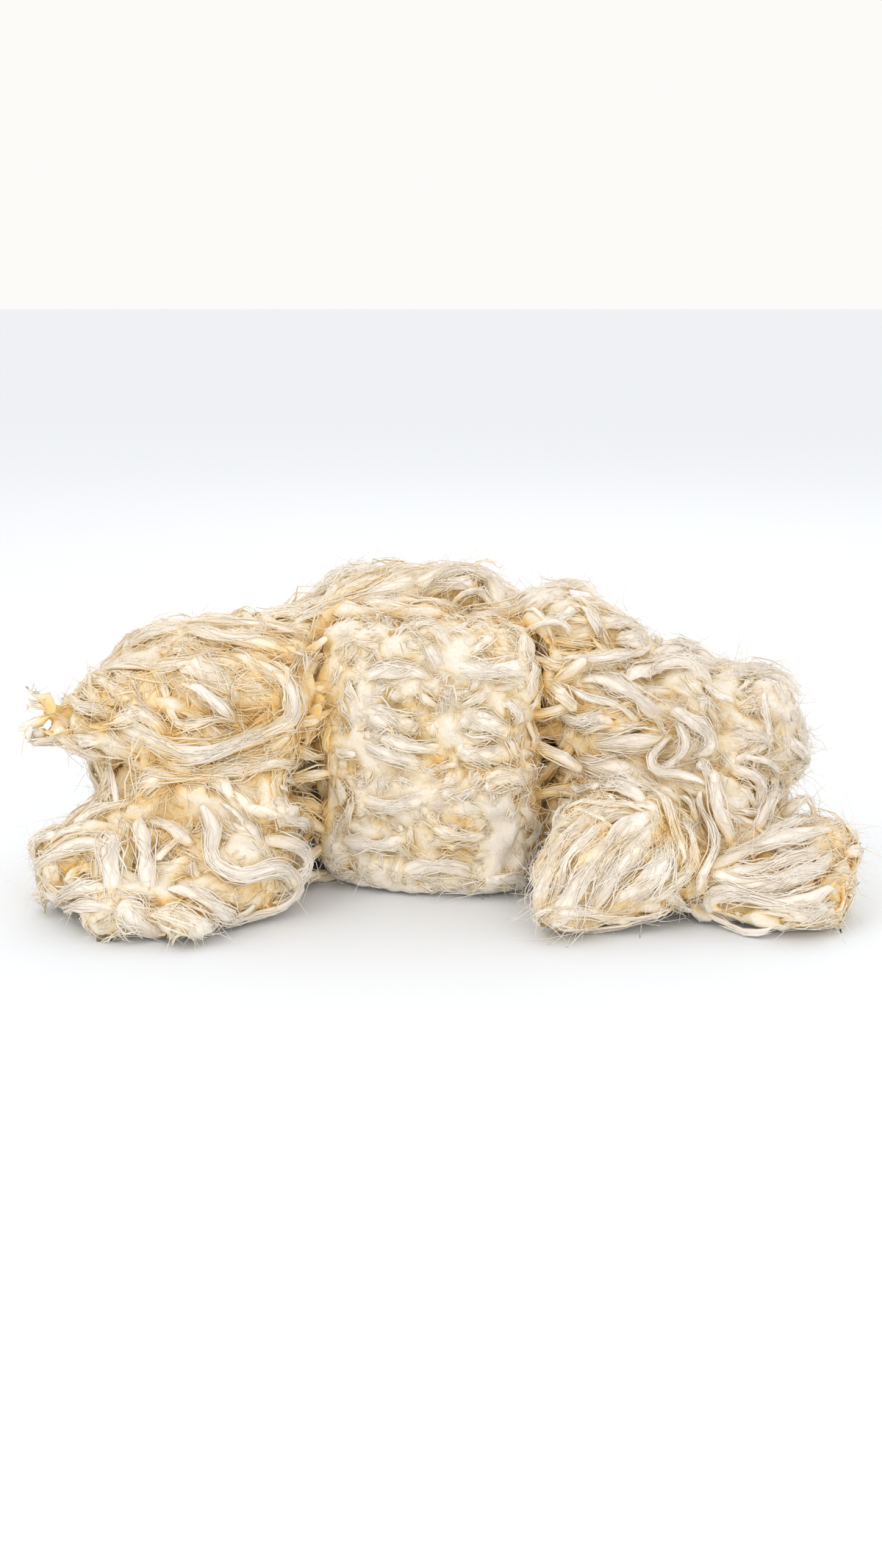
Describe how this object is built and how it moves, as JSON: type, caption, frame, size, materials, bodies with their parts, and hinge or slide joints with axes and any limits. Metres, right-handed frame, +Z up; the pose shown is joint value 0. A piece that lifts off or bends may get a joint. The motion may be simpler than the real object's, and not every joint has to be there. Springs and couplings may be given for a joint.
{
  "type": "wool fleece heap",
  "caption": "Loose heap of washed, matted wool fleece locks in overlapping handfuls, with a squarish pressed bundle of the same wool standing at its front.",
  "frame": {"origin": "on the floor plane, at the middle of the heap's bounding box", "axes": "+X to the heap's right as seen from the front, along its longest side; -Y to the front, where the pressed bundle stands; +Z up"},
  "size_m": [0.7394, 0.4074, 0.2793],
  "materials": {
    "wool": "soft, matt, undyed cream wool with a warm tint in the creases"
  },
  "bodies": {
    "root": {"bundle": "wool", "front_tuft": "wool", "left_foot": "wool", "right_foot": "wool", "left_crown": "wool", "right_shoulder": "wool", "right_crown": "wool", "back_crest": "wool", "right_base": "wool", "left_base": "wool", "back_base": "wool"}
  },
  "joints": []
}
